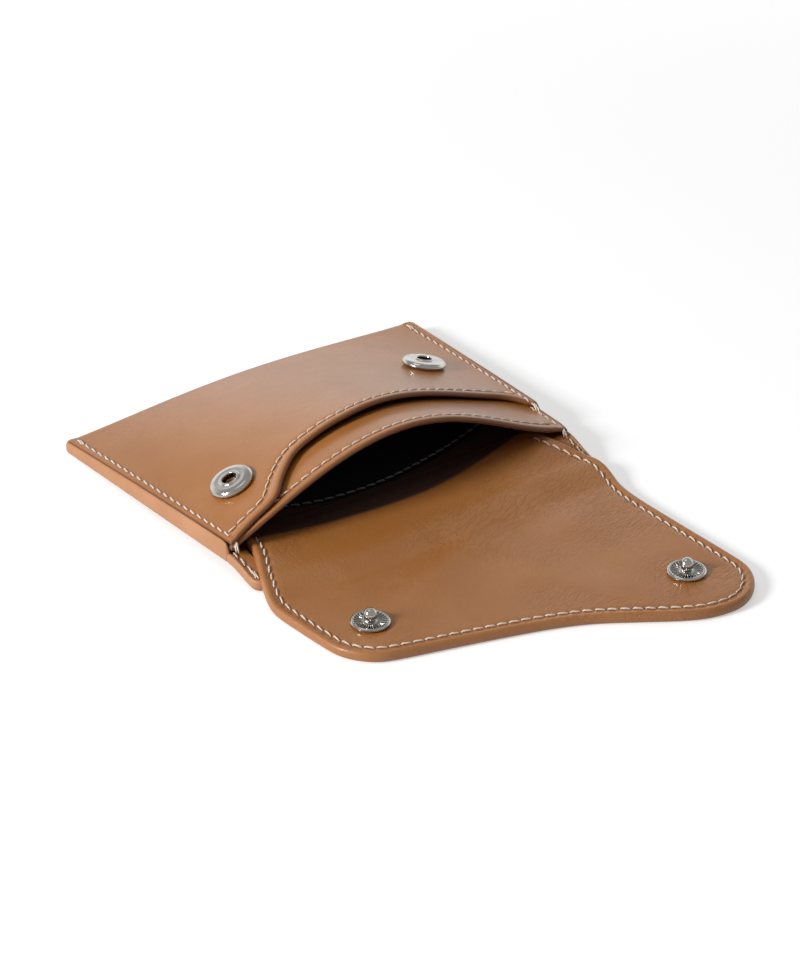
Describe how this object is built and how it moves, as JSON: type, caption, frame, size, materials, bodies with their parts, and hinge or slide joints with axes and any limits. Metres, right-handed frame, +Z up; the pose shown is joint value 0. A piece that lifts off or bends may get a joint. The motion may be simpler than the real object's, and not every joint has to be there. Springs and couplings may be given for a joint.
{
  "type": "card wallet",
  "caption": "Leather card wallet lying open: two stacked pockets with topstitched lips, and a slanted flap whose two ball studs press into spring sockets.",
  "frame": {"origin": "centre of the open wallet's bounding box, on the table it lies on", "axes": "+X from the flap's short side to its long side, +Y from the flap to the bottom fold, +Z up"},
  "size_m": [0.112, 0.163, 0.025],
  "materials": {
    "tan_leather": "smooth, lightly glazed",
    "dark_lining": "matte",
    "stiff_board": "matte",
    "nickel": "polished nickel plate",
    "spring_steel": "drawn wire"
  },
  "bodies": {
    "wallet_body": {"back_panel": "tan_leather", "back_lining": "dark_lining", "front_pocket": "tan_leather", "inner_pocket": "tan_leather", "pocket_lining": "dark_lining", "flap_root_outer": "tan_leather", "flap_root_inner": "tan_leather"},
    "flap": {"flap_outer": "tan_leather", "flap_inner": "tan_leather", "flap_board": "stiff_board", "stud_left": "nickel", "stud_right": "nickel", "stud_peg_left": "nickel", "stud_peg_right": "nickel"},
    "pocket_lip": {"lip_facing": "tan_leather"},
    "socket_left_body": {"socket_left": "nickel", "socket_spring_left": "spring_steel", "socket_rivet_left": "nickel"},
    "socket_right_body": {"socket_right": "nickel", "socket_spring_right": "spring_steel", "socket_rivet_right": "nickel"}
  },
  "joints": [
    {"name": "flap_hinge", "type": "hinge", "parent": "wallet_body", "child": "flap", "pos_m": [0, -0.0062, 0.00695], "axis": [-1, 0, 0], "range_deg": [0, 180]},
    {"name": "pocket_press", "type": "hinge", "parent": "wallet_body", "child": "pocket_lip", "pos_m": [0, 0.08, 0.0015], "axis": [1, 0, 0], "range_deg": [0, 12], "deforming": ["front_pocket", "inner_pocket", "pocket_lining", "lip_facing"]},
    {"name": "socket_press_left", "type": "hinge", "parent": "wallet_body", "child": "socket_left_body", "pos_m": [-0.0501, 0.02836, 0.00973], "axis": [0.3368, 0.9416, 0], "range_deg": [0, 23.59]},
    {"name": "socket_press_right", "type": "hinge", "parent": "wallet_body", "child": "socket_right_body", "pos_m": [0.0442, 0.0539, 0.00827], "axis": [0.4728, -0.8812, 0], "range_deg": [0, 15.66]}
  ],
  "couplings": [
    {"joint": "pocket_press", "follows": "flap_hinge", "ratio": 0.066667},
    {"joint": "socket_press_left", "follows": "flap_hinge", "ratio": 0.13107},
    {"joint": "socket_press_right", "follows": "flap_hinge", "ratio": 0.086983}
  ]
}
